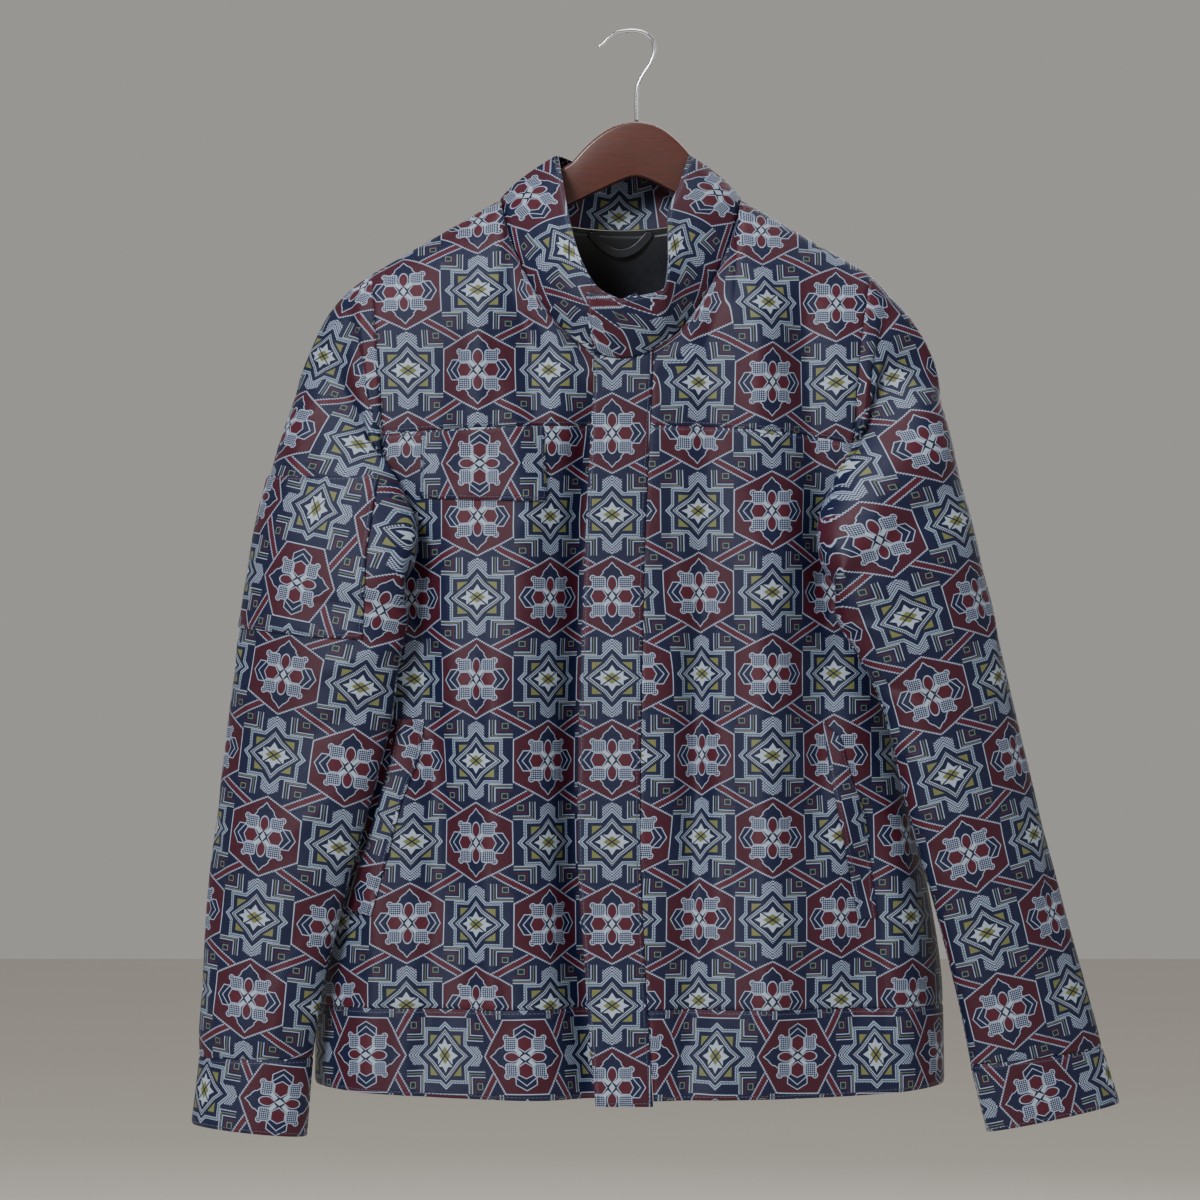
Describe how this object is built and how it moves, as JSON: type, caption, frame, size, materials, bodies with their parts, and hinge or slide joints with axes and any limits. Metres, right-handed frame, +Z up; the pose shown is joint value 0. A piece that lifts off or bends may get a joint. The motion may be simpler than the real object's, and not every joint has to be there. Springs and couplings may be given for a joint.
{
  "type": "japanese work jacket on a wooden hanger",
  "caption": "Short stand-collar work jacket with a fly front, one chest flap, slanted pockets, a sleeve patch, cuffs and a hem band, hung on a wooden hanger with a wire hook.",
  "frame": {"origin": "inside top of the hanger's hook, where a rail or peg carries it", "axes": "+X to the wearer's left, -Y the front of the jacket, +Z up"},
  "size_m": [0.7313, 0.148, 0.8715],
  "materials": {
    "cloth": "satin",
    "lining": "satin",
    "hanger_wood": "varnished",
    "hook_steel": "polished"
  },
  "bodies": {
    "root": {"front_yoke_right": "cloth", "front_yoke_left": "cloth", "front_right": "cloth", "front_left": "cloth", "back": "cloth", "collar": "cloth", "fly": "cloth", "hem_band": "cloth", "sleeve_right": "cloth", "sleeve_left": "cloth", "cuff_right": "cloth", "cuff_left": "cloth", "chest_flap": "cloth", "welt_right": "cloth", "welt_left": "cloth", "sleeve_patch": "cloth", "back_lining": "lining", "neck_loop": "lining", "hanger_wood": "hanger_wood", "hanger_hook": "hook_steel"}
  },
  "joints": []
}
